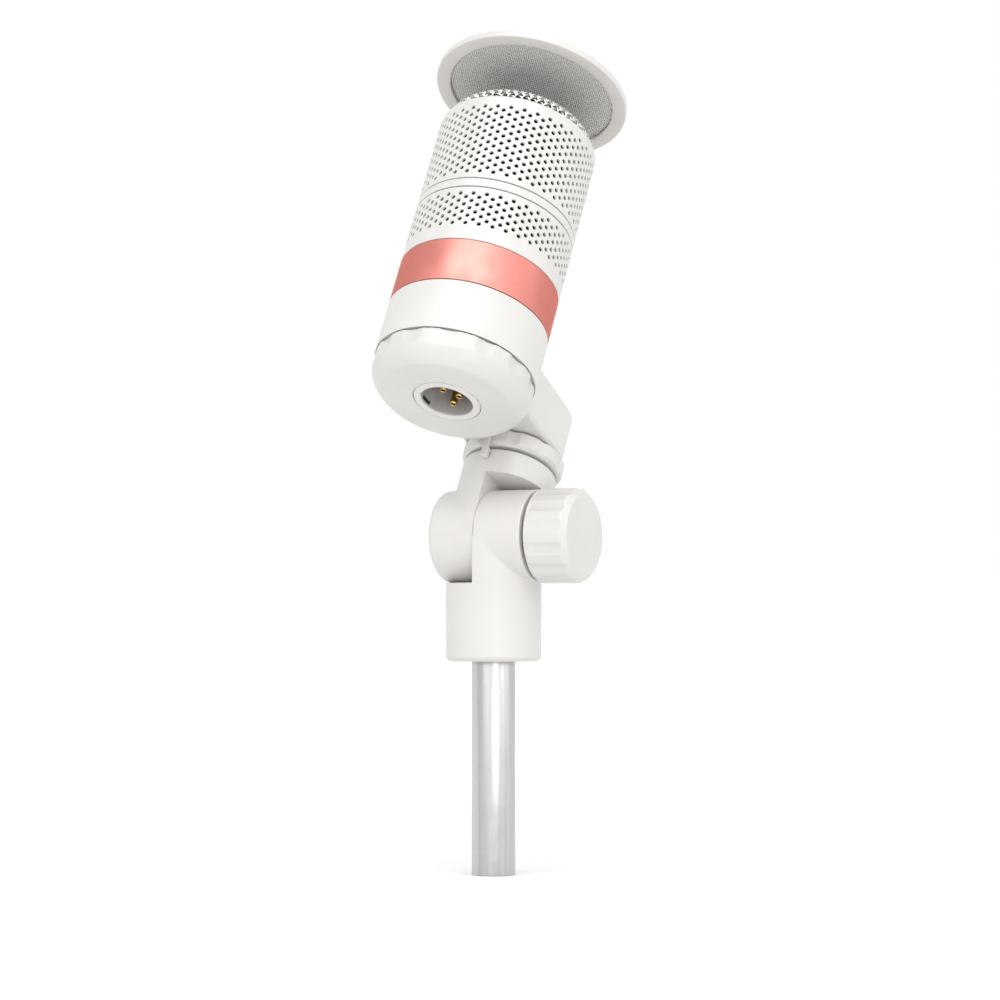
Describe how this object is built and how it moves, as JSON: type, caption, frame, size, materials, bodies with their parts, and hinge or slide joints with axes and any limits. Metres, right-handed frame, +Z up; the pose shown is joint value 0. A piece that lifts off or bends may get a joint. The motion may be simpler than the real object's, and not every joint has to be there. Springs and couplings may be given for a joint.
{
  "type": "desktop microphone",
  "caption": "White cylindrical desktop microphone on a side arm, with a tilt hinge, lock ring, three-pin socket and round pop filter.",
  "frame": {"origin": "centre of the stand tube's lower end, on the tube's axis", "axes": "+Z up along the stand tube; +X along the tilt hinge towards its clamp knob; +Y the way the microphone's head leans"},
  "size_m": [0.062, 0.1034, 0.2609],
  "materials": {
    "white_paint": "white powder coat over die-cast metal",
    "rose_metal": "brushed, anodised rose pink",
    "satin_metal": "drawn chromed tube",
    "steel": "plain zinc-plated steel",
    "brass": "turned brass",
    "gold_plate": "gold-plated contact pins",
    "dark_plastic": "dark grey moulded plastic",
    "black_cloth": "thin black acoustic cloth",
    "black_foam": "open-cell black foam",
    "black_rubber": "soft black rubber",
    "grey_rubber": "soft light grey rubber",
    "board_green": "solder-masked fibreglass",
    "mesh_wire": "woven crimped wire, nickel plated",
    "pop_gauze": "fine woven metal gauze"
  },
  "bodies": {
    "stand": {"stand_tube": "satin_metal", "stand_stud": "steel"},
    "swivel_base": {"socket": "white_paint", "thread_insert": "brass", "knob_washer": "grey_rubber"},
    "neck_assembly": {"neck": "white_paint", "tilt_bolt": "steel", "hinge_cap": "white_paint", "friction_washer": "dark_plastic", "lock_washer": "steel", "swivel_grub_screw": "steel", "index_tab": "white_paint"},
    "knob": {"tilt_knob": "white_paint", "knob_insert": "brass"},
    "lock_ring_body": {"lock_ring": "white_paint"},
    "screw_cap": {"end_cap": "white_paint"},
    "pop_filter": {"pop_back_ring": "white_paint", "pop_mesh": "pop_gauze", "pop_front_ring": "white_paint", "pop_bracket": "white_paint", "pop_magnet": "steel"},
    "microphone": {"swivel_spindle": "steel", "arm": "white_paint", "arm_screw_1": "steel", "arm_screw_2": "steel", "lower_housing": "white_paint", "colour_band": "rose_metal", "grille_lower": "white_paint", "grille_collar": "white_paint", "grille_upper": "white_paint", "grille_liner": "black_cloth", "head_mesh": "mesh_wire", "head_ring": "dark_plastic", "head_foam": "black_foam", "chassis_tube": "dark_plastic", "capsule_carrier": "dark_plastic", "capsule_body": "steel", "capsule_magnet": "steel", "capsule_diaphragm": "pop_gauze", "capsule_grid": "steel", "shock_ring_rear": "black_rubber", "shock_ring_front": "black_rubber", "xlr_shell": "white_paint", "xlr_insulator": "dark_plastic", "xlr_pin_1": "gold_plate", "xlr_pin_2": "gold_plate", "xlr_pin_3": "gold_plate", "connector_bracket": "steel", "connector_screw_1": "steel", "connector_screw_2": "steel", "circuit_board": "board_green", "output_transformer": "steel"}
  },
  "joints": [
    {"name": "stand_pan", "type": "hinge", "parent": "stand", "child": "swivel_base", "pos_m": [0, 0, 0.08], "axis": [0, 0, 1], "range_deg": [-180, 180]},
    {"name": "tilt_hinge", "type": "hinge", "parent": "swivel_base", "child": "neck_assembly", "pos_m": [0, 0, 0.104], "axis": [1, 0, 0], "range_deg": [-40.5, 99.5]},
    {"name": "tilt_knob_turn", "type": "hinge", "parent": "neck_assembly", "child": "knob", "pos_m": [0, 0, 0.104], "axis": [1, 0, 0], "range_deg": [0, 180]},
    {"name": "arm_swivel", "type": "hinge", "parent": "neck_assembly", "child": "microphone", "pos_m": [0, 0.01871, 0.13707], "axis": [0, 0.4924, 0.8704], "range_deg": [-180, 180]},
    {"name": "lock_ring_turn", "type": "hinge", "parent": "microphone", "child": "lock_ring_body", "pos_m": [0, 0.01305, 0.12706], "axis": [0, 0.4924, 0.8704], "range_deg": [0, 90]},
    {"name": "end_cap_turn", "type": "hinge", "parent": "microphone", "child": "screw_cap", "pos_m": [0, -0.02807, 0.14861], "axis": [0, 0.4924, 0.8704], "range_deg": [0, 180]},
    {"name": "pop_filter_pull", "type": "slide", "parent": "microphone", "child": "pop_filter", "axis": [0, 0.4924, 0.8704], "range_m": [0, 0.03]}
  ]
}
